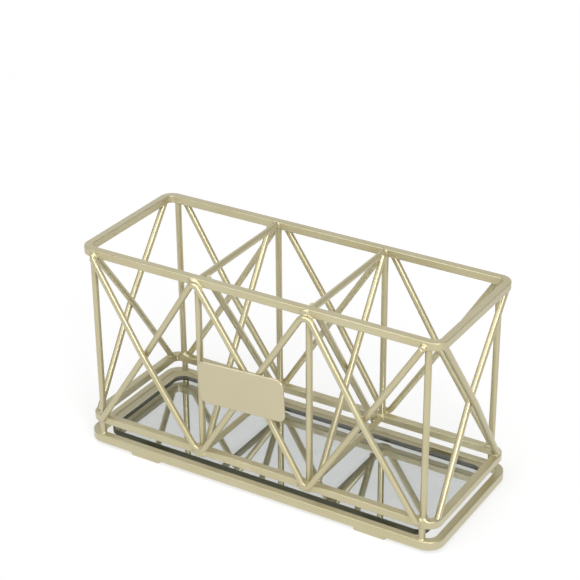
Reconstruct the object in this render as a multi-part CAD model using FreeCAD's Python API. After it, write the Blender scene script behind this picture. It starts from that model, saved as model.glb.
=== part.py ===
import FreeCAD, Part
import math
import os

from FreeCAD import Vector

# Makeup brush holder: a welded wire box with three compartments and a mirror for a floor.
# X runs along the length, the front faces -Y and Z is up. The origin is the middle of the
# footprint, on the table. All lengths are in millimetres.

# Overall size, over the bars of the rims
length = 170.0
depth = 66.0
height = 95.5

# Bar of the two rims, which is square, and of the base ring, which is a little taller
bar = 3.5
base_bar_height = 4.1
bar_edge = 0.45        # rounding along the bar's edges
rim_bend = 2.5         # inside corner radius of the two rims
base_bend = 4.0        # inside corner radius of the base ring
base_margin = 1.2      # how far the base ring stands out past the rims, all round
rim_gap = 5.4          # clear height between the base ring and the bottom rim

# Round wire
upright_wire = 2.8
brace_wire = 2.8
divider_wire = 2.8
post_wire = 2.8

# Places of the wires
upright_count = 4      # in the front, and as many in the back
corner_inset = 6.4     # from the end of a rim to the middle of a corner upright
end_inset = 5.0        # from the front or back of a rim to the end of an end brace
divider_inset = 3.0    # from the inside of a rim to the end of a divider's diagonal

# Zigzag brace wires: they lie on the outside of the rims, with a flat where they are welded
seat_depth = 0.25      # how deep that flat is
apex_reach = 2.8       # two legs, drawn on without a bend, meet this far past the rim's edge
tip_reach = 0.4        # the wire's cut tip lies this far past the rim's edge
outer_bend = 2.0       # inside radius at the apexes of the outer zigzag
inner_bend = 0.9       # inside radius at the apexes of the inner zigzag
crossing_bend = 60.0   # gentle bend of each leg where it passes its neighbour
wire_gap = 0.1         # room between wires that pass each other

# End brace wires: they stand between the rims, on the middle of the bar
end_sink = 1.0         # how far their ends are drawn into the bar before they are cut to it

# Cross straps, which carry the mirror and are the feet
strap_thick = 1.6
strap_width = 15.0
strap_place = 30.7     # from the end of the base ring to the middle of a strap
strap_inset = 0.3      # from the base ring's face to the strap's end
strap_corner = 1.2
strap_bevel = 0.3

# Mirror, which lies loose on the straps and is smaller than the inside of the base ring
glass_thick = 2.8
glass_end_gap = 4.5    # between the glass and the base ring at the ends, when it lies in the middle
glass_side_gap = 2.9   # and along the front and the back
glass_slide = 0.9      # how far it has slid to the left
glass_corner = 5.0
glass_arris = 0.3      # bevel ground along the glass edges
backing_thick = 1.2    # backing sheet that is glued under the glass
backing_inset = 8.0    # how far the backing stays back from the glass edges

# Name plate, which is bare
plate_width = 41.0
plate_height = 19.2
plate_thick = 1.0
plate_corner = 3.2
plate_bevel = 0.2
plate_x = -2.4         # middle of the plate, from the middle of the length
plate_drop = 1.2       # middle of the plate, below the crossing that it is welded to
plate_tilt = 3.0       # degrees out of level: the right-hand end is the higher one

tolerance = 1e-6       # for telling a level edge from a standing one

# Levels and faces that follow from the sizes above
base_top = strap_thick + base_bar_height
base_length = length + 2 * base_margin
base_depth = depth + 2 * base_margin
low_rim_bottom = base_top + rim_gap
low_rim_top = low_rim_bottom + bar
top_rim_bottom = height - bar
end_x = length / 2
front_y = -depth / 2
inner_y = depth / 2 - bar
brace_offset = brace_wire / 2 - seat_depth          # wire centre, out from the rim's face
bow = (brace_wire + wire_gap) / 2                   # how far a leg leans off to clear its neighbour
upright_y = depth / 2 - seat_depth - wire_gap - upright_wire / 2
post_y = (depth + base_margin - bar) / 2            # midway between the bars it joins
panel_pitch = (length - 2 * corner_inset) / (upright_count - 1)
upright_xs = [corner_inset - end_x + panel_pitch * step for step in range(upright_count)]
crossing_z = (low_rim_top + top_rim_bottom) / 2
strap_x = base_length / 2 - strap_place
silver_level = strap_thick + backing_thick          # underside of the glass, which is silvered


def rounded_block(size_x, size_y, bottom, top, corner):
    """Block about the Z axis with rounded standing edges."""
    place = Vector(-size_x / 2, -size_y / 2, bottom)
    block = Part.makeBox(size_x, size_y, top - bottom, place)
    standing = [edge for edge in block.Edges if edge.BoundBox.ZLength > tolerance]
    return block.makeFillet(corner, standing)


def level_edges(shape):
    return [edge for edge in shape.Edges if edge.BoundBox.ZLength < tolerance]


def bar_ring(size_x, size_y, bottom, top, bend):
    """Bar bent into a rounded rectangle, with its edges softened."""
    outside = rounded_block(size_x, size_y, bottom, top, bend + bar)
    inside = rounded_block(size_x - 2 * bar, size_y - 2 * bar, bottom, top, bend)
    ring = outside.cut(inside)
    return ring.makeFillet(bar_edge, level_edges(ring)).Solids[0]


def straight_wire(start, end, diameter):
    run = end - start
    return Part.makeCylinder(diameter / 2, run.Length, start, run)


def bent_path(points, radii):
    """Straight runs from point to point, with a tangent arc at each inner point."""
    edges = []
    start = points[0]
    for before, corner, after, radius in zip(points, points[1:], points[2:], radii):
        back = (before - corner).normalize()
        on = (after - corner).normalize()
        half_angle = back.getAngle(on) / 2
        to_arc = radius / math.tan(half_angle)
        to_middle = radius / math.sin(half_angle) - radius
        arc_start = corner + back * to_arc
        arc_middle = corner + (back + on).normalize() * to_middle
        arc_end = corner + on * to_arc
        edges.append(Part.LineSegment(start, arc_start).toShape())
        edges.append(Part.Arc(arc_start, arc_middle, arc_end).toShape())
        start = arc_end
    edges.append(Part.LineSegment(start, points[-1]).toShape())
    return Part.Wire(edges)


def bent_wire(points, radii, diameter):
    path = bent_path(points, radii)
    circle = Part.makeCircle(diameter / 2, points[0], points[1] - points[0])
    return path.makePipeShell([Part.Wire(circle)], True, False)


def brace_points(corners, outwards):
    """Route of a brace: between two corners it leans outwards or inwards to pass its neighbour."""
    route = [corners[0]]
    for here, there in zip(corners, corners[1:]):
        route += [(here + there) / 2 + outwards * bow, there]
    return route


def cut_back(tip, inner, past_rim):
    """Point on the line from inner to tip that is a given way past the edge of the nearer rim."""
    level = top_rim_bottom + past_rim if tip.z > inner.z else low_rim_top - past_rim
    return inner + (tip - inner) * ((level - inner.z) / (tip.z - inner.z))


def seated(wire, *seats):
    """The wire with a flat where it lies on each of its seats."""
    for seat in seats:
        wire = wire.cut(seat)
    return wire.Solids[0]


def zigzag(starts_high, outwards, bend):
    """Brace wire along the front: a leg in each panel, and a bend at each inner upright."""
    levels = [top_rim_bottom + apex_reach, low_rim_top - apex_reach]
    if not starts_high:
        levels.reverse()
    y = front_y - brace_offset
    corners = [Vector(x, y, levels[step % 2]) for step, x in enumerate(upright_xs)]
    route = brace_points(corners, outwards)
    route[0] = cut_back(route[0], route[1], tip_reach)
    route[-1] = cut_back(route[-1], route[-2], tip_reach)
    radii = [crossing_bend, bend + brace_wire / 2] * (upright_count - 2) + [crossing_bend]
    return bent_wire(route, radii, brace_wire)


def end_brace(high_y, outwards):
    """Brace wire across the right-hand end, from its high end at high_y to the other side."""
    x = end_x - bar / 2
    high = Vector(x, high_y, top_rim_bottom + end_sink)
    low = Vector(x, -high_y, low_rim_top - end_sink)
    return bent_wire(brace_points([high, low], outwards), [crossing_bend], brace_wire)


def half_turn(shape):
    """Copy for the opposite side: the back is the front turned round, and so are the ends."""
    copy = shape.copy()
    copy.rotate(Vector(0, 0, 0), Vector(0, 0, 1), 180)
    return copy


def divider(middle_x, side):
    """Two bars between the rims and two diagonals that are coped to them."""
    top_level = height - bar / 2
    low_level = low_rim_top - bar / 2
    bars = {}
    for name, level in (("top_bar", top_level), ("bottom_bar", low_level)):
        start = Vector(middle_x, -inner_y, level)
        bars[name] = straight_wire(start, Vector(middle_x, inner_y, level), divider_wire)
    lean = (divider_wire + wire_gap) / 2
    reach_y = inner_y - divider_inset
    pieces = dict(bars)
    for name, sign in (("diagonal_front_high", -1), ("diagonal_back_high", 1)):
        x = middle_x + side * sign * lean
        start = Vector(x, sign * reach_y, top_level)
        end = Vector(x, -sign * reach_y, low_level)
        pieces[name] = seated(straight_wire(start, end, divider_wire), *bars.values())
    return pieces


def strap(middle_x):
    block = rounded_block(strap_width, base_depth - 2 * strap_inset, 0, strap_thick, strap_corner)
    under = [edge for edge in level_edges(block) if edge.BoundBox.ZMax < tolerance]
    block = block.makeChamfer(strap_bevel, under)
    block.translate(Vector(middle_x, 0, 0))
    return block.Solids[0]


def floor_sheet(inset, bottom, top):
    """Sheet with rounded corners that stays a given way back from the edges of the glass."""
    size_x = base_length - 2 * (bar + glass_end_gap + inset)
    size_y = base_depth - 2 * (bar + glass_side_gap + inset)
    sheet = rounded_block(size_x, size_y, bottom, top, glass_corner)
    sheet.translate(Vector(-glass_slide, 0, 0))
    return sheet.Solids[0]


def name_plate():
    """Thin sheet against the crest of the outer zigzag at the middle crossing."""
    crest = depth / 2 + brace_offset + bow + brace_wire / 2
    sheet = rounded_block(plate_width, plate_height, 0, plate_thick, plate_corner)
    sheet = sheet.makeChamfer(plate_bevel, level_edges(sheet))
    sheet.rotate(Vector(0, 0, 0), Vector(1, 0, 0), 90)
    sheet.rotate(Vector(0, 0, 0), Vector(0, 1, 0), -plate_tilt)
    sheet.translate(Vector(plate_x, seat_depth - crest, crossing_z - plate_drop))
    return sheet.Solids[0]


nodes = {}

# Rings of bent bar
nodes["top_rim"] = bar_ring(length, depth, top_rim_bottom, height, rim_bend)
nodes["bottom_rim"] = bar_ring(length, depth, low_rim_bottom, low_rim_top, rim_bend)
nodes["base_ring"] = bar_ring(base_length, base_depth, strap_thick, base_top, base_bend)
rims = (nodes["top_rim"], nodes["bottom_rim"])

# Uprights between the rims, and posts below those at the corners
for row, side in (("front", -1), ("back", 1)):
    for number, x in enumerate(upright_xs, 1):
        foot = Vector(x, side * upright_y, low_rim_top)
        head = Vector(x, side * upright_y, top_rim_bottom)
        nodes[f"upright_{row}_{number}"] = straight_wire(foot, head, upright_wire)
    for hand, x in (("left", upright_xs[0]), ("right", upright_xs[-1])):
        foot = Vector(x, side * post_y, base_top)
        head = Vector(x, side * post_y, low_rim_bottom)
        nodes[f"post_{row}_{hand}"] = straight_wire(foot, head, post_wire)

# Plate and braces: the plate is welded to the crest of the front's outer zigzag
nodes["name_plate"] = name_plate()
towards_front = Vector(0, -1, 0)
outer_zigzag = seated(zigzag(True, towards_front, outer_bend), *rims)
inner_zigzag = seated(zigzag(False, -towards_front, inner_bend), *rims)
nodes["front_brace_outer"] = seated(outer_zigzag, nodes["name_plate"])
nodes["front_brace_inner"] = inner_zigzag
nodes["back_brace_outer"] = half_turn(outer_zigzag)
nodes["back_brace_inner"] = half_turn(inner_zigzag)

towards_end = Vector(1, 0, 0)
nodes["right_brace_outer"] = seated(end_brace(front_y + end_inset, towards_end), *rims)
nodes["right_brace_inner"] = seated(end_brace(-front_y - end_inset, -towards_end), *rims)
nodes["left_brace_outer"] = half_turn(nodes["right_brace_outer"])
nodes["left_brace_inner"] = half_turn(nodes["right_brace_inner"])

# Dividers in line with the inner uprights
for hand, x, side in (("left", upright_xs[1], -1), ("right", upright_xs[2], 1)):
    for name, piece in divider(x, side).items():
        nodes[f"divider_{hand}_{name}"] = piece

# Floor: the straps carry the backing, and the backing carries the glass
glass = floor_sheet(0, silver_level, silver_level + glass_thick)
nodes["mirror_glass"] = glass.makeChamfer(glass_arris, level_edges(glass)).Solids[0]
nodes["mirror_backing"] = floor_sheet(backing_inset, strap_thick, silver_level)
nodes["strap_left"] = strap(-strap_x)
nodes["strap_right"] = strap(strap_x)

os.makedirs("parts", exist_ok=True)
for name, shape in nodes.items():
    shape.exportStep(f"parts/{name}.step")
    print(f"{name}: {shape.ShapeType}, {shape.Volume:.1f} mm3, valid {shape.isValid()}")
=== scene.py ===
# %% [markdown]
# # Dressing a welded wire brush holder
# The holder is already built as a imported CAD model: rims of square bar, round wires, straps and a
# mirror. This lesson gives it its looks. First we load it as a frame that never moves.

# %% Load the imported holder
import math

import bmesh
import bpy
from mathutils import Matrix, Vector


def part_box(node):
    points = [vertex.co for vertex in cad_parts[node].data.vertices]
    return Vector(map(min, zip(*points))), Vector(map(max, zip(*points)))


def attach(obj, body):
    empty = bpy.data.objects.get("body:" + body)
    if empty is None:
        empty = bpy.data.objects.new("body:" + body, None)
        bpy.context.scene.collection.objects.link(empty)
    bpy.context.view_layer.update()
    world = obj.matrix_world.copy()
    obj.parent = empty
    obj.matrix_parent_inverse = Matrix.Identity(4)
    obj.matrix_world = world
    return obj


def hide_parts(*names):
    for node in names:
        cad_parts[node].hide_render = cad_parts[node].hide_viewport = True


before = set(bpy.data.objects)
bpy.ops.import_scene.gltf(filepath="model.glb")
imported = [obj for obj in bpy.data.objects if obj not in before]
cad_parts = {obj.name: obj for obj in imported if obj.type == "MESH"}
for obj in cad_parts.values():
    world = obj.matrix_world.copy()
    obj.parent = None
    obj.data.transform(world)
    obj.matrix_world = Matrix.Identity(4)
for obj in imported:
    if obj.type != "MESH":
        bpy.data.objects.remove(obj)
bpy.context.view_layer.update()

print("pieces in the frame:", len(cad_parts))

# %% [markdown]
# ## Sizes we need
# Welds and mirror sit where the bars and wires are, so we ask the frame for those places and don't
# type them again. A millimetre is a handy unit for a thing that fits in the hand.

# %% Read the places of rims and uprights
mm = 0.001


def middle(node):
    low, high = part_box(node)
    return (low + high) / 2


top_level = middle("top_rim").z
low_level = middle("bottom_rim").z
upright_xs = [middle(f"upright_front_{number}").x for number in (1, 2, 3, 4)]
upright_y = middle("upright_back_1").y
print("rim levels in mm:", round(top_level / mm, 2), round(low_level / mm, 2))
print("uprights at x in mm:", [round(x / mm, 1) for x in upright_xs])

# %% [markdown]
# ## Tools for a finish
# Every finish on the holder has a colour that wanders a little and a gloss that wanders with it.
# We could paint that on a picture and wrap it round the wires, but a noise measured in millimetres
# needs no wrapping and stays sharp from near by. These helpers write a colour, start a material,
# make a noise of a known grain and spread it over the values we want.

# %% Make the tools
usual_noise = (0.3, 0.7)


def srgb(red, green, blue):
    """A colour as a paint shop would read it off a screen, made linear for the shader."""
    steps = []
    for value in (red, green, blue):
        share = value / 255
        steps.append(share / 12.92 if share <= 0.04045 else ((share + 0.055) / 1.055) ** 2.4)
    return (*steps, 1.0)


def blank_material(name):
    """A new material: its nodes, its links, its shader and the place that noises start from."""
    material = bpy.data.materials.new(name)
    material.use_nodes = True
    nodes, links = material.node_tree.nodes, material.node_tree.links
    return material, nodes, links, nodes["Principled BSDF"], nodes.new("ShaderNodeTexCoord")


def noise_in_mm(nodes, links, place, grain, detail=2.0):
    """Noise whose blobs are about grain millimetres across."""
    noise = nodes.new("ShaderNodeTexNoise")
    noise.inputs["Scale"].default_value = 1 / (grain * mm)
    noise.inputs["Detail"].default_value = detail
    links.new(place.outputs["Object"], noise.inputs["Vector"])
    return noise.outputs["Fac"]


def stretch(nodes, links, value, span, low, high):
    """A node that stretches a span of a value to run from low to high."""
    node = nodes.new("ShaderNodeMapRange")
    sockets = ("From Min", "From Max", "To Min", "To Max")
    for socket, number in zip(sockets, (*span, low, high)):
        node.inputs[socket].default_value = number
    links.new(value, node.inputs["Value"])
    return node


def spread(nodes, links, noise, low, high):
    """A noise whose usual values are spread out between low and high."""
    return stretch(nodes, links, noise, usual_noise, low, high).outputs["Result"]


def two_tones(nodes, links, noise, first, second):
    """A colour that wanders between two tones as the noise does."""
    tone = nodes.new("ShaderNodeMix")
    tone.data_type = "RGBA"
    tone.inputs["A"].default_value = first
    tone.inputs["B"].default_value = second
    links.new(spread(nodes, links, noise, 0.0, 1.0), tone.inputs["Factor"])
    return tone.outputs["Result"]


print("noise is spread from its usual values:", usual_noise)

# %% [markdown]
# ## The champagne paint
# The real frame is steel with a sprayed satin coat, a pale gold with fine metal flake in it. We
# could use one gold colour, but sprayed paint is never that even: it has a faint orange-peel skin,
# patches that are a little warmer or thinner, and flake that breaks up the shine. Three noises at
# their real scale give those: patches of a few centimetres, peel of about a millimetre, and flake
# much finer.

# %% Mix the paint
patch_grain, peel_grain, flake_grain = 24, 1.1, 0.16
flake_detail = 1.0
flake_light, flake_gloss = 0.045, 0.05
peel_strength, peel_depth = 0.12, 0.05 * mm
metal_share, lacquer_share, lacquer_roughness = 0.7, 0.8, 0.14


def champagne_paint(name, pale, warm, satin):
    """Metal paint in patches of a pale and a warm tone, under a thin clear lacquer."""
    paint, nodes, links, shader, place = blank_material(name)
    patches = noise_in_mm(nodes, links, place, patch_grain)
    peel = noise_in_mm(nodes, links, place, peel_grain)
    flake = noise_in_mm(nodes, links, place, flake_grain, flake_detail)

    sparkle = nodes.new("ShaderNodeHueSaturation")
    light = spread(nodes, links, flake, 1 - flake_light, 1 + flake_light)
    links.new(two_tones(nodes, links, patches, pale, warm), sparkle.inputs["Color"])
    links.new(light, sparkle.inputs["Value"])
    links.new(sparkle.outputs["Color"], shader.inputs["Base Color"])
    gloss = spread(nodes, links, flake, satin - flake_gloss, satin + flake_gloss)
    links.new(gloss, shader.inputs["Roughness"])

    skin = nodes.new("ShaderNodeBump")
    skin.inputs["Strength"].default_value = peel_strength
    skin.inputs["Distance"].default_value = peel_depth
    links.new(peel, skin.inputs["Height"])
    links.new(skin.outputs["Normal"], shader.inputs["Normal"])
    shader.inputs["Metallic"].default_value = metal_share
    shader.inputs["Coat Weight"].default_value = lacquer_share
    shader.inputs["Coat Roughness"].default_value = lacquer_roughness
    return paint


frame_paint = champagne_paint("champagne_frame_paint", pale=srgb(206, 198, 161),
                              warm=srgb(200, 190, 150), satin=0.42)
plate_paint = champagne_paint("champagne_plate_paint", pale=srgb(208, 198, 165),
                              warm=srgb(204, 193, 159), satin=0.44)
print("paints:", frame_paint.name, plate_paint.name)

# %% [markdown]
# ## Paint the bars and wires
# The CAD pieces have the right shape already, so they stay and only change their coat. The plate
# is flat sheet and takes the spray more evenly than thin wire does, so it has a paint of its own.

# %% Spray every steel piece


def repaint(node, paint):
    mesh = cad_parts[node].data
    mesh.materials.clear()
    mesh.materials.append(paint)


steel = [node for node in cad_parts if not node.startswith("mirror")]
for node in steel:
    repaint(node, plate_paint if node == "name_plate" else frame_paint)
print("painted pieces:", len(steel))

# %% [markdown]
# ## The welds
# Where wires meet a rim, the real holder has a small smooth lump: weld metal, filled out by paint.
# We could model each lump by hand, or scatter balls there, but a weld follows whatever it joins.
# So we copy the pieces round a joint, cut the copy to a small box, skin it with one voxel remesh
# and let the skin relax. Relaxing shrinks it below the wires everywhere but in the corners between
# them, and what shows there is the weld. Copying and cutting come first.

# %% Copy the steel round a joint
seam_width = 0.0005 * mm


def clean_copy(mesh, node):
    """The node's own faces in a bmesh, with the seams of its shading closed."""
    mesh.from_mesh(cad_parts[node].data)
    bmesh.ops.remove_doubles(mesh, verts=mesh.verts[:], dist=seam_width)


def cut_to_box(mesh, low, high):
    """Keeps what is inside the box and closes the cuts."""
    for axis in range(3):
        for corner, side in ((low, -1), (high, 1)):
            normal = Vector((0, 0, 0))
            normal[axis] = side
            everything = mesh.verts[:] + mesh.edges[:] + mesh.faces[:]
            bmesh.ops.bisect_plane(mesh, geom=everything, plane_co=corner, plane_no=normal,
                                   clear_outer=True)
            open_edges = [edge for edge in mesh.edges if edge.is_boundary]
            if open_edges:
                bmesh.ops.holes_fill(mesh, edges=open_edges)


def reaches(node, low, high):
    node_low, node_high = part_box(node)
    return all(node_low[i] < high[i] and node_high[i] > low[i] for i in range(3))


def steel_in_box(low, high):
    """One bmesh of all the steel in a box."""
    metal = bmesh.new()
    for node in steel:
        if not reaches(node, low, high):
            continue
        stub = bmesh.new()
        clean_copy(stub, node)
        cut_to_box(stub, low, high)
        if stub.faces:
            stub_mesh = bpy.data.meshes.new("stub")
            stub.to_mesh(stub_mesh)
            metal.from_mesh(stub_mesh)
            bpy.data.meshes.remove(stub_mesh)
        stub.free()
    return metal


print("steel pieces that welds may take in:", len(steel))

# %% [markdown]
# ### Skin one joint
# The skin has to be finer than the corners it fills, so its voxels are about a tenth of a wire.
# Once it has relaxed it is smooth and needs fewer faces, so we thin them out. At last we sink the
# whole skin by a hair, so that it stays under the bars where it lies flat on them.

# %% Skin a joint
weld_voxel = 0.3 * mm
relax_rounds, relax_step = 14, 0.5
faces_kept = 0.45
weld_sink = 0.04 * mm
bead_rounds = 3


def finish_mesh(piece, *modifiers):
    """Puts the modifiers on a piece, bakes them into its mesh and takes them off."""
    for kind, settings in modifiers:
        modifier = piece.modifiers.new(kind, kind)
        for key, value in settings.items():
            setattr(modifier, key, value)
    graph = bpy.context.evaluated_depsgraph_get()
    done = bpy.data.meshes.new_from_object(piece.evaluated_get(graph))
    piece.modifiers.clear()
    piece.data = done
    done.name = piece.name


def weld(name, low, high, beads=(), relax=relax_rounds):
    """The weld in a box: a relaxed skin over all the steel there, with extra beads of metal."""
    metal = steel_in_box(low, high)
    for place, size in beads:
        shape = Matrix.Translation(place) @ Matrix.Diagonal((*size, 1))
        bmesh.ops.create_icosphere(metal, subdivisions=bead_rounds, radius=1, matrix=shape)
    mesh = bpy.data.meshes.new(name)
    metal.to_mesh(mesh)
    metal.free()
    piece = bpy.data.objects.new(name, mesh)
    bpy.context.scene.collection.objects.link(piece)
    finish_mesh(piece,
                ("REMESH", {"mode": "VOXEL", "voxel_size": weld_voxel}),
                ("SMOOTH", {"factor": relax_step, "iterations": relax}),
                ("DECIMATE", {"ratio": faces_kept}))
    for vertex in piece.data.vertices:
        vertex.co -= vertex.normal * weld_sink
    piece.data.polygons.foreach_set("use_smooth", [True] * len(piece.data.polygons))
    piece.data.materials.clear()
    piece.data.materials.append(frame_paint)
    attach(piece, "root")
    return piece


print("weld skin in voxels of mm:", weld_voxel / mm)

# %% [markdown]
# ### Beads
# A skin alone leaves the bends of the braces too clean. In the photograph a pad of weld spreads
# from each bend over the face of the rim, a drop closes the gap behind each cut tip, the divider
# bars end in a bright drop, and a shallow pool lies on the rim's top at each low corner. Those are
# small flattened balls of extra metal, melted in by the same skin. A size gives half of a ball's
# length, depth and height in millimetres.

# %% Place the beads of one joint
rim_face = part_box("top_rim")[1].y
rim_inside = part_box("divider_left_top_bar")[1].y
rim_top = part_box("bottom_rim")[1].z
brace_at = {"top": ("outer tip", "inner bend", "outer bend", "inner tip"),
            "low": ("inner tip", "outer bend", "inner bend", "outer tip")}
# A pad is how far past the rim's middle it lies, in millimetres, and its size.
pads = {"top outer bend": (0.2, (1.9, 0.8, 1.4)), "top inner bend": (0.0, (2.8, 0.6, 1.2)),
        "low outer bend": (0.6, (3.8, 1.3, 1.7)), "low inner bend": (0.6, (3.8, 1.3, 1.7))}
tip_pad = (-0.9, (1.6, 1.6, 1.5))
pad_proud, tip_short, bend_shift = 0.2 * mm, 1.3 * mm, 1.0 * mm
bar_drop, drop_in, drop_up = (1.45, 1.7, 0.9), 0.3 * mm, 0.55 * mm
corner_pool, pool_shift = (3.2, 2.2, 1.3), 0.4 * mm


def bead(x, y, z, size):
    return Vector((x, y, z)), [length * mm for length in size]


def joint_beads(side, level_name, level, number, x):
    """Beads where a brace meets the rim, and where a divider's bar ends inside it."""
    seen_from_outside = brace_at[level_name] if side < 0 else brace_at[level_name][::-1]
    brace = seen_from_outside[number - 1]
    past, size = pads.get(f"{level_name} {brace}", tip_pad)
    away = 1 if level_name == "top" else -1
    pad_y, pad_z = side * (rim_face + pad_proud), level + away * past * mm
    if brace.endswith("bend"):
        drop_y = side * (rim_inside - drop_in)
        return [bead(x + side * bend_shift, pad_y, pad_z, size),
                bead(x, drop_y, level + drop_up, bar_drop)]
    end = math.copysign(1, x)
    beads = [bead(x - end * tip_short, pad_y, pad_z, size)]
    if level_name == "low":
        beads.append(bead(x - end * pool_shift, side * upright_y, rim_top, corner_pool))
    return beads


print("rim face and bar end at y in mm:", round(rim_face / mm, 2), round(rim_inside / mm, 2))

# %% [markdown]
# ### Where the welds are
# Each upright stands between two bends or tips of the braces, so one box round its head and one
# round its foot takes in the rim, the upright, the brace and the divider or end brace beside it. A
# box at a corner reaches further towards the end, and one at a divider reaches further in.

# %% Weld the heads and feet of the uprights
rows = (("front", -1), ("back", 1))
levels = (("top", top_level), ("low", low_level))
box_out, box_half_height = 5.5 * mm, 6 * mm
corner_in, corner_to_end, corner_to_middle = 7.5 * mm, 8 * mm, 7 * mm
divider_in, divider_aside = 10.5 * mm, 6.5 * mm


def joint_box(side, level, number, x):
    """The box round the head or foot of an upright."""
    inwards, left, right = divider_in, divider_aside, divider_aside
    if number == 1:
        inwards, left, right = corner_in, corner_to_end, corner_to_middle
    if number == len(upright_xs):
        inwards, left, right = corner_in, corner_to_middle, corner_to_end
    ys = sorted((side * (upright_y + box_out), side * (upright_y - inwards)))
    return (Vector((x - left, ys[0], level - box_half_height)),
            Vector((x + right, ys[1], level + box_half_height)))


welds = []
for row, side in rows:
    for level_name, level in levels:
        for number, x in enumerate(upright_xs, 1):
            low, high = joint_box(side, level, number, x)
            beads = joint_beads(side, level_name, level, number, x)
            welds.append(weld(f"weld_{row}_{level_name}_{number}", low, high, beads))
print("welds at the uprights:", len(welds), "faces:", sum(len(w.data.polygons) for w in welds))

# %% [markdown]
# ### Small welds
# The corner posts, the straps under the base ring and the back of the plate have small welds of
# their own. A post's box takes in both its ends. A strap's box is flat, so its skin relaxes for
# fewer rounds. The plate is held by one bead behind it, where the two front braces cross.

# %% Weld posts and straps
post_reach = Vector((2.6 * mm, 2.4 * mm, 2.2 * mm))
ring_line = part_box("base_ring")[1].y - 2.2 * mm
strap_aside, strap_frontwards, strap_backwards = 2 * mm, 3.4 * mm, 1.6 * mm
strap_below, strap_above, strap_relax = 0.9 * mm, 1.5 * mm, 10

for row, side in rows:
    for hand in ("left", "right"):
        post_low, post_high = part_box(f"post_{row}_{hand}")
        name = f"weld_post_{row}_{hand}"
        welds.append(weld(name, post_low - post_reach, post_high + post_reach))
    for hand in ("left", "right"):
        strap_low, strap_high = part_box(f"strap_{hand}")
        ring_y, level = side * ring_line, strap_high.z
        low = Vector((strap_low.x - strap_aside, ring_y - strap_frontwards, level - strap_below))
        high = Vector((strap_high.x + strap_aside, ring_y + strap_backwards, level + strap_above))
        welds.append(weld(f"weld_strap_{row}_{hand}", low, high, relax=strap_relax))
print("welds with posts and straps:", len(welds))

# %% Weld the plate
plate_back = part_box("name_plate")[1].y
crossing_level = (top_level + low_level) / 2
plate_reach, plate_clear, plate_deep = 6 * mm, 0.02 * mm, 4.5 * mm
plate_bead, bead_behind = (3.0, 0.9, 2.6), 0.3 * mm

low = Vector((-plate_reach, plate_back + plate_clear, crossing_level - plate_reach))
high = Vector((plate_reach, plate_back + plate_deep, crossing_level + plate_reach))
beads = [bead(0, plate_back + bead_behind, crossing_level, plate_bead)]
welds.append(weld("weld_plate", low, high, beads))
print("all welds:", len(welds), "faces:", sum(len(w.data.polygons) for w in welds))

# %% [markdown]
# ## The mirror floor
# The floor is a loose sheet of mirror. A mirror is clear glass with silver on its back, and that
# shows: what it reflects seems to lie a little below the face, and along the far edges we look
# into the glass and see its ground edge. The edge is a little green, and its colour is painted dark
# as painted shade of the narrow slot beside the ring. One shiny face can't do that, so we build it
# as it is made: a slab of clear glass with ground edges and a silvered lowest face, cut to the CAD
# sheet. The backing sheet under it stays as it is and gets a dull coat.

# %% Draw the outline of the glass
sheet_low, sheet_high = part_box("mirror_glass")
glass_corner, glass_arris = 5.0 * mm, 0.3 * mm
corner_steps = 10


def rounded_outline(half_x, half_y, radius):
    """Corner points of a rounded rectangle, anticlockwise seen from above."""
    points = []
    for turn, (sx, sy) in enumerate(((1, 1), (-1, 1), (-1, -1), (1, -1))):
        for step in range(corner_steps + 1):
            angle = math.pi / 2 * (turn + step / corner_steps)
            points.append((sx * (half_x - radius) + radius * math.cos(angle),
                           sy * (half_y - radius) + radius * math.sin(angle)))
    return points


half_x, half_y = (sheet_high.x - sheet_low.x) / 2, (sheet_high.y - sheet_low.y) / 2
centre = (sheet_low + sheet_high) / 2
print("mirror in mm:", [round(v / mm, 1) for v in (sheet_high - sheet_low)])

# %% Cut the glass
glue_line = 0.03 * mm
silver_level = sheet_low.z + glue_line
top_face, edge_face, back_face = range(3)

slab = bmesh.new()
loops = []
for z, inset in ((silver_level, glass_arris), (silver_level + glass_arris, 0),
                 (sheet_high.z - glass_arris, 0), (sheet_high.z, glass_arris)):
    outline = rounded_outline(half_x - inset, half_y - inset, glass_corner - inset)
    loops.append([slab.verts.new((centre.x + x, centre.y + y, z)) for x, y in outline])
for lower, upper in zip(loops, loops[1:]):
    for i in range(len(lower)):
        j = (i + 1) % len(lower)
        slab.faces.new((lower[i], lower[j], upper[j], upper[i])).material_index = edge_face
slab.faces.new(loops[-1]).material_index = top_face
slab.faces.new(list(reversed(loops[0]))).material_index = back_face
sheet_mesh = bpy.data.meshes.new("mirror_sheet")
slab.to_mesh(sheet_mesh)
slab.free()
mirror_sheet = bpy.data.objects.new("mirror_sheet", sheet_mesh)
bpy.context.scene.collection.objects.link(mirror_sheet)
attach(mirror_sheet, "root")
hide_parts("mirror_glass")
print("faces of the glass:", len(sheet_mesh.polygons))

# %% [markdown]
# ### Glass, ground edge, silver and backing
# The face has faint marks from wiping. The ground edge is rough and grey-green, and it is darkened
# with painted shade of the narrow slot beside the ring. The silver is a metal that is never quite
# even, and the backing is a dull grey sheet. One noise in each moves the colour and the dullness
# together, because the same wear changes both.

# %% Make the four finishes of the mirror
glass_ior = 1.52


def worn_material(name, grain, tones, dull, detail=2.0):
    """A material whose colour and roughness wander together, and its shader."""
    material, nodes, links, shader, place = blank_material(name)
    wear = noise_in_mm(nodes, links, place, grain, detail)
    links.new(two_tones(nodes, links, wear, *tones), shader.inputs["Base Color"])
    links.new(spread(nodes, links, wear, *dull), shader.inputs["Roughness"])
    return material, shader


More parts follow.
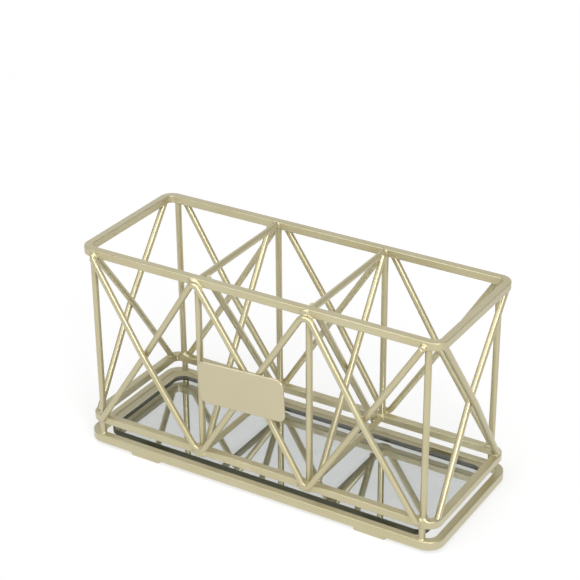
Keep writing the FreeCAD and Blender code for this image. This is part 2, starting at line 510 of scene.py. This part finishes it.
clear, shader = worn_material("mirror_glass_face", grain=9, detail=4.0, dull=(0.0, 0.012),
                              tones=(srgb(246, 250, 248), srgb(250, 253, 252)))
shader.inputs["Transmission Weight"].default_value = 1.0
shader.inputs["IOR"].default_value = glass_ior
# The ground edge has its own grey-green tint, and its darkness is painted shade of the slot by the
# ring.
ground_edge_with_painted_shade, shader = worn_material("mirror_ground_edge_painted_shade", grain=0.5, dull=(0.3, 0.5),
                               tones=(srgb(78, 82, 66), srgb(96, 99, 80)))
silver, shader = worn_material("mirror_silver", grain=7, detail=4.0, dull=(0.0, 0.02),
                               tones=(srgb(204, 204, 203), srgb(208, 208, 207)))
shader.inputs["Metallic"].default_value = 1.0
backing, shader = worn_material("mirror_backing_sheet", grain=0.8, dull=(0.6, 0.75),
                                tones=(srgb(96, 98, 100), srgb(110, 112, 114)))

for material in (clear, ground_edge_with_painted_shade, silver):
    sheet_mesh.materials.append(material)
repaint("mirror_backing", backing)
print("mirror materials:", [m.name for m in sheet_mesh.materials])

# %% [markdown]
# ## The white paper
# The holder stands on a sweep of white paper that reads as pure white. If we lit it to that white
# with lamps, the pale paint would burn out first. So the paper is grey and has a glow that only
# the camera sees. The overhead lamp lights the paper most right under itself, so the glow is
# weakest there and grows with the distance. That evens the white out and keeps the holder's soft
# shadow. Metal, which mirrors the paper, sees a steady glow that is dimmer.

# %% Lay the paper
paper_reach, paper_drop = 3.0, 0.02 * mm
paper_corners = ((-1, -1), (1, -1), (1, 1), (-1, 1))

floor_mesh = bpy.data.meshes.new("white_floor")
floor_mesh.from_pydata([(x * paper_reach, y * paper_reach, 0) for x, y in paper_corners],
                       [], [(0, 1, 2, 3)])
white_floor = bpy.data.objects.new("white_floor", floor_mesh)
white_floor.location.z = -paper_drop
bpy.context.scene.collection.objects.link(white_floor)
print("floor:", white_floor.name)

# %% Make the paper glow
paper_shade = 0.36
lamp_foot = (0.01, -0.24, 0)
glow_reach = 2.0
# Metres from the lamp's foot, and the glow there.
glow_at = ((0.13, 0.61), (0.26, 0.68), (0.45, 0.765), (0.85, 0.855), (1.5, 0.89))
glow_to_metal = 0.62


def maths(nodes, links, operation, *values, kind="ShaderNodeMath"):
    """The result of a sum, whose values are sockets or plain numbers."""
    node = nodes.new(kind)
    node.operation = operation
    for socket, value in zip(node.inputs, values):
        if isinstance(value, bpy.types.NodeSocket):
            links.new(value, socket)
        else:
            socket.default_value = value
    return node.outputs["Value"]


sweep, nodes, links, shader, place = blank_material("white_sweep")
nodes.remove(shader)
paper = nodes.new("ShaderNodeBsdfDiffuse")
paper.inputs["Color"].default_value = (paper_shade, paper_shade, paper_shade, 1)
distance = maths(nodes, links, "DISTANCE", place.outputs["Object"], lamp_foot,
                 kind="ShaderNodeVectorMath")
even_out = nodes.new("ShaderNodeValToRGB")
links.new(maths(nodes, links, "DIVIDE", distance, glow_reach), even_out.inputs["Fac"])
stops = even_out.color_ramp.elements
while len(stops) < len(glow_at):
    stops.new(1.0)
for stop, (metres, strength) in zip(stops, glow_at):
    stop.position = metres / glow_reach
    stop.color = (strength, strength, strength, 1)

ray = nodes.new("ShaderNodeLightPath").outputs
to_metal = maths(nodes, links, "MULTIPLY", ray["Is Glossy Ray"], glow_to_metal)
to_all = maths(nodes, links, "MULTIPLY_ADD", ray["Is Camera Ray"], even_out.outputs["Color"],
               to_metal)
glow = nodes.new("ShaderNodeEmission")
links.new(to_all, glow.inputs["Strength"])
both = nodes.new("ShaderNodeAddShader")
links.new(paper.outputs["BSDF"], both.inputs[0])
links.new(glow.outputs["Emission"], both.inputs[1])
links.new(both.outputs["Shader"], nodes["Material Output"].inputs["Surface"])
floor_mesh.materials.append(sweep)
print("paper:", sweep.name, "with a glow of", [strength for _, strength in glow_at])

# %% [markdown]
# ## The room
# Satin metal looks like what is round it. The room has a white backdrop behind the holder and to
# its left, dimmer walls on the other sides and a dark ceiling: the tops of the bars mirror the
# backdrop, and their fronts mirror the paper. We could build the room from panels, but the world
# can be painted by direction, which needs no mesh. The camera gets plain white from it, and so
# does the mirror through its glass.

# %% Light the room
backdrop_glow, wall_glow, ceiling_glow = 0.86, 0.42, 0.02
to_backdrop, backdrop_edge = (-0.52, 0.855, 0), (0.45, 0.8)
ceiling_rise = (0.42, 1.0)
plain_white = 1.0

world = bpy.data.worlds.new("photo_room")
bpy.context.scene.world = world
world.use_nodes = True
nodes, links = world.node_tree.nodes, world.node_tree.links
walls = nodes["Background"]
walls.inputs["Color"].default_value = (1, 1, 1, 1)
way = nodes.new("ShaderNodeTexCoord").outputs["Generated"]
facing = maths(nodes, links, "DOT_PRODUCT", way, to_backdrop, kind="ShaderNodeVectorMath")
sides = stretch(nodes, links, facing, backdrop_edge, wall_glow, backdrop_glow)
split = nodes.new("ShaderNodeSeparateXYZ")
links.new(way, split.inputs["Vector"])
room = stretch(nodes, links, split.outputs["Z"], ceiling_rise, wall_glow, ceiling_glow)
links.new(sides.outputs["Result"], room.inputs["To Min"])

ray = nodes.new("ShaderNodeLightPath").outputs
looked_at = maths(nodes, links, "MAXIMUM", ray["Is Camera Ray"], ray["Is Transmission Ray"])
choose = nodes.new("ShaderNodeMix")
choose.data_type = "FLOAT"
links.new(looked_at, choose.inputs["Factor"])
links.new(room.outputs["Result"], choose.inputs["A"])
choose.inputs["B"].default_value = plain_white
links.new(choose.outputs["Result"], walls.inputs["Strength"])
print("room:", world.name, "with glows of", backdrop_glow, wall_glow, ceiling_glow)

# %% [markdown]
# ## The softboxes
# Two lamps are enough. A small key at the front right draws thin bright lines along the wires,
# which a large one would make broad and flat. A wide softbox overhead lights the rest and keeps
# the shadow soft. Both face the middle of the holder.

# %% Hang the softboxes
target = Vector((0, 0, 0.045))
strip_height = 0.485


def stood(place, right, up, back):
    """The matrix of a lamp or camera at a place, from its three directions."""
    return Matrix.Translation(place) @ Matrix((right, up, back)).transposed().to_4x4()


def softbox(name, place, along, width, height, watts):
    """A lamp that faces the holder, with its width laid along a direction."""
    light = bpy.data.lights.new(name, "AREA")
    light.shape = "RECTANGLE"
    light.size = width
    light.size_y = height
    light.energy = watts
    lamp = bpy.data.objects.new(name, light)
    away = (place - target).normalized()
    level = (along - away * along.dot(away)).normalized()
    lamp.matrix_world = stood(place, level, away.cross(level), away)
    bpy.context.scene.collection.objects.link(lamp)


softbox("key_softbox", place=Vector((0.552, -0.519, 0.421)), along=Vector((0.68, 0.73, 0)),
        width=0.24, height=0.24, watts=2.4)
softbox("strip_softbox", place=Vector((*lamp_foot[:2], strip_height)),
        along=Vector((0.942, 0.336, 0)), width=0.80, height=0.42, watts=2.6)

# %% [markdown]
# ## The camera
# The camera was found by matching the corners of the rims in the photograph: a long lens a little
# to the right of the front and about thirty degrees up. Its matrix is written as the directions it
# was solved as, and its shift puts the optical axis where the photograph has it.

# %% Set the camera
photo_pixels, focal_pixels = 580, 1747.806
axis_x, axis_y = 287.954, 290.319
film_width = 36.0
camera_place = (0.333306, -0.548831, 0.413367)
to_right = Vector((0.85491, 0.51872, -0.00729))
upwards = Vector((-0.23221, 0.39521, 0.88876))

sight = bpy.data.cameras.new("photo_camera")
sight.sensor_width = film_width
sight.lens = film_width * focal_pixels / photo_pixels
sight.shift_x = (photo_pixels / 2 - axis_x) / photo_pixels
sight.shift_y = (axis_y - photo_pixels / 2) / photo_pixels
photo_camera = bpy.data.objects.new("photo_camera", sight)
photo_camera.matrix_world = stood(camera_place, to_right, upwards, to_right.cross(upwards))
bpy.context.scene.collection.objects.link(photo_camera)
bpy.context.scene.camera = photo_camera
bpy.context.scene.view_settings.view_transform = "Standard"
print("lens in mm:", round(sight.lens, 2))
